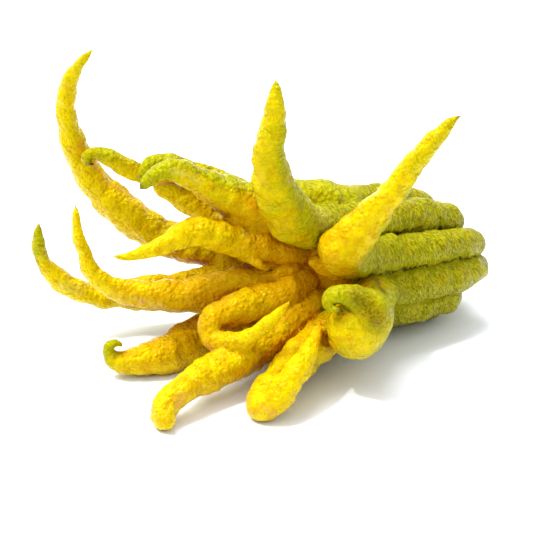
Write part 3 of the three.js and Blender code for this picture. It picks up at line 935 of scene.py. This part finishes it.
def peel_patterns(s):
    """What the mesh and the textures say about each point of the peel. Sizes are millimetres."""
    numbers = ("green", "open", "groove", "dry", "rib", "whole", "seam", "warm", "creased")
    p = SimpleNamespace(**{name: s.read(name) for name in numbers})
    p.pale, p.blush, p.shade = s.split(s.read("marks", "Vector"))
    p.skin = s.stretch(s.where(), (1 / MM,) * 3)
    p.peel = s.read("peel", "Vector")

    patches = s.minus(s.noise(p.skin, size=9, detail=3), 0.5)
    p.greenness = s.ramp(s.plus(p.green, s.times(patches, 0.9)), 0.15, 0.85)
    p.knobs = s.noise(p.skin, size=3, detail=1, rough=0.4)
    p.grain = s.noise(p.skin, size=1, detail=1)
    p.specks = s.cells(p.skin, size=1.3)
    p.beads = s.ramp(s.cells(p.skin, size=2.2), 0.75, 0.1)
    wrinkles = s.noise(s.stretch(p.peel, (1, 0.3, 0.3)), size=0.75, rough=0.6)
    rings = s.noise(s.stretch(p.peel, (1, 0.35, 0.35)), size=RINGS.size, detail=1, rough=0.4)
    p.wrinkles, p.rings = (s.mix(p.whole, (0.5, 0.5, 0.5), lines) for lines in (wrinkles, rings))
    return p


def on_ribs(s, p, finger, rib):
    """A value that is one on the fingers and another on the ribs."""
    return s.ramp(p.rib, 0, 1, finger, rib)


def yellow_peel(s, p):
    """The peel of the fingers: lemon, deeper yellow near the mouth, painted shade on the lowest fingers,
    and orange painted shade in the hollows, grooves and creases between them.
    """
    lemon = s.minus(s.noise(p.skin, size=5), s.times(p.warm, 0.6))
    clouds = s.minus(s.noise(p.skin, size=15), 0.5)
    return s.tinted(
        s.mix(s.ramp(lemon, 0.15, 0.55), YELLOW, LEMON),
        # deeper yellow near the mouth, and painted shade on the lowest fingers
        (s.plus(p.warm, s.times(clouds, 0.6)), 0.1, 1.0, 0.75, AMBER),
        # orange painted shade in the hollows between the fingers, deepest in the mouth
        (p.open, 0.85, 0.3, 0.5, AMBER),
        (p.open, 0.26, 0.04, 0.7, HOLLOW_SHADE),
        # painted shade in the narrow grooves and in the creases near the mouth
        (p.groove, 0.45, 0.12, 0.4, HOLLOW_SHADE),
        (p.creased, 0.25, 0.65, 0.7, HOLLOW_SHADE),
    )


def green_peel(s, p):
    """The peel of the ribs: finely wrinkled, and darkened down in the grooves with painted shade."""
    furrows = s.times(s.ramp(p.wrinkles, 0.60, 0.38), on_ribs(s, p, 0.55, 1.0))
    colour = s.tinted(
        s.mix(furrows, LIME, OLIVE),
        (s.noise(p.skin, size=7, detail=3), 0.45, 0.75, 0.15, AMBER),
        # painted shade in the grooves between the ribs
        (p.groove, 0.7, 0.2, 0.6, MOSS),
    )
    # painted shade along the seams where the ribs meet
    return s.mix(s.times(p.rib, s.ramp(p.seam, 1.0, 0.15, end=0.9)), colour, MOSS)


def peel_colour(s, p):
    """Green and yellow peel with its flecks, pits, marks and dried tips."""
    flecks = s.noise(s.stretch(p.peel, (1, 0.5, 0.5)), size=0.8, rough=0.6)
    pitted = s.ramp(s.noise(p.skin, size=6, detail=1), 0.42, 0.6)
    ragged = s.ramp(s.noise(p.skin, size=1.6, detail=3, rough=0.6), 0.35, 0.6)
    colour = s.mix(p.greenness, yellow_peel(s, p), green_peel(s, p))
    for share, tint in (
        (s.times(s.ramp(flecks, 0.60, 0.70), on_ribs(s, p, 0.1, 0.6)), STRAW),
        (s.times(s.times(s.ramp(p.specks, 0.35, 0.15), pitted), s.times(p.rib, 0.7)), MOSS),
        (s.times(p.shade, s.ramp(p.specks, 0.6, 0.2, start=0.7)), UMBER),
        (s.times(s.times(p.pale, ragged), 0.75), STRAW),
        (s.times(s.times(p.blush, ragged), 0.7), BLUSH),
        (p.dry, BARK),
    ):
        colour = s.mix(share, colour, tint)
    return colour


def peel_relief(s, p):
    """How far the peel stands out in its finest relief, in millimetres."""
    beading = s.times(s.ramp(p.warm, 0.45, 0.8, 0.5, 0.3), on_ribs(s, p, 1.0, 0.4))
    relief = s.times(p.knobs, on_ribs(s, p, 0.85, 0.8))
    for pattern, height in (
        (p.wrinkles, on_ribs(s, p, 0.1, 1.5)),
        (p.grain, 0.4),
        (p.rings, s.ramp(p.greenness, 0, 1, 0.8, 2.6)),
        (p.beads, beading),
    ):
        relief = s.plus(relief, s.times(pattern, height))
    return s.minus(relief, s.ramp(p.specks, 0.35, 0.05, end=0.15))


def peel_material():
    s = Shader("waxy_peel")
    p = peel_patterns(s)
    roughness = s.ramp(s.noise(p.skin, size=6), 0.35, 0.65, 0.09, 0.15)
    roughness = s.plus(roughness, s.times(p.greenness, 0.12))
    s.dress({
        "Base Color": peel_colour(s, p),
        "Roughness": s.plus(roughness, s.times(p.dry, 0.3)),
        "Specular IOR Level": 0.16,
        "Specular Tint": (1.0, 0.93, 0.15, 1),
        "Subsurface Weight": 0.06,
        "Subsurface Radius": (1.0, 0.6, 0.1),
        "Subsurface Scale": 2.0 * MM,
    })
    s.bump(peel_relief(s, p), depth_mm=1.0)
    return s.material


def stalk_material():
    s = Shader("dry_stalk")
    grain = s.noise(s.where(), size=1.5 * MM, detail=3, rough=0.6)
    colour = s.mix(s.ramp(grain, 0.35, 0.65), STALK_DARK, STALK_PALE)
    cut = s.times(s.read("cut"), s.ramp(grain, 0.3, 0.6, start=0.4))
    s.dress({"Base Color": s.mix(cut, colour, STALK_CUT), "Roughness": 0.85})
    s.bump(grain, depth_mm=0.6)
    return s.material


def floor_material():
    s = Shader("pale_floor")
    s.dress({"Base Color": (*FLOOR, 1), "Roughness": 0.9, "Specular IOR Level": 0.1})
    return s.material


# ---- pieces ----

peel = make_fruit()
peel.data.materials.append(peel_material())
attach(peel, "root")
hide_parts("fruit")

calyx = make_button()
calyx.data.materials.append(stalk_material())
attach(calyx, "root")
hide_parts("stalk_button")

# ---- floor, light and camera ----

CAMERA_TARGET = Vector((0.0012, 0.0085, 0.0446))
CAMERA_DISTANCE = 1.1
CAMERA_ELEVATION = math.radians(27)
CAMERA_FIELD = math.radians(13.82)
FLOOR_SIZE = 6.0
SKY_LOW = 0.32  # strength of the surrounding light at the horizon
SKY_HIGH = 1.5  # and overhead
# The lamps: the way towards each, how many degrees wide it looks and how strong it is.
SUNS = {
    "key": ((-0.13, 0.33, 1.0), 30, 2.25),
    "spark": ((-0.45, -0.08, 1.0), 3, 1.25),
    "left": ((-0.58, 0.12, 1.0), 38, 1.9),
}


def make_floor():
    half = FLOOR_SIZE / 2
    corners = np.array([(-half, -half, 0), (half, -half, 0), (half, half, 0), (-half, half, 0)]) / MM
    floor = mesh_object("floor", corners, [(0, 1, 2, 3)], {})
    floor.data.materials.append(floor_material())


def make_sun(name, towards, degrees, strength):
    lamp = bpy.data.lights.new(name, "SUN")
    lamp.angle = math.radians(degrees)
    lamp.energy = strength
    holder = bpy.data.objects.new(name, lamp)
    holder.rotation_euler = (-Vector(towards)).to_track_quat("-Z", "Y").to_euler()
    bpy.context.collection.objects.link(holder)


def make_world():
    """A soft light that is bright overhead and dimmer towards the horizon."""
    world = bpy.data.worlds.new("studio")
    world.use_nodes = True
    tree = world.node_tree
    tree.nodes["Background"].inputs["Color"].default_value = (1, 1, 1, 1)
    where = tree.nodes.new("ShaderNodeTexCoord")
    parts = tree.nodes.new("ShaderNodeSeparateXYZ")
    sky = tree.nodes.new("ShaderNodeMapRange")
    tree.links.new(where.outputs["Generated"], parts.inputs[0])
    tree.links.new(parts.outputs["Z"], sky.inputs["Value"])
    sky.inputs["To Min"].default_value = SKY_LOW
    sky.inputs["To Max"].default_value = SKY_HIGH
    tree.links.new(sky.outputs[0], tree.nodes["Background"].inputs["Strength"])
    bpy.context.scene.world = world


def make_camera():
    lens = bpy.data.cameras.new("camera")
    lens.angle = CAMERA_FIELD
    camera = bpy.data.objects.new("camera", lens)
    back = Vector((0, -math.cos(CAMERA_ELEVATION), math.sin(CAMERA_ELEVATION)))
    camera.location = CAMERA_TARGET + back * CAMERA_DISTANCE
    camera.rotation_euler = (-back).to_track_quat("-Z", "Y").to_euler()
    bpy.context.collection.objects.link(camera)
    bpy.context.scene.camera = camera


make_floor()
make_world()
for sun, (towards, degrees, strength) in SUNS.items():
    make_sun(sun, towards, degrees, strength)
make_camera()
bpy.context.scene.view_settings.view_transform = "Standard"
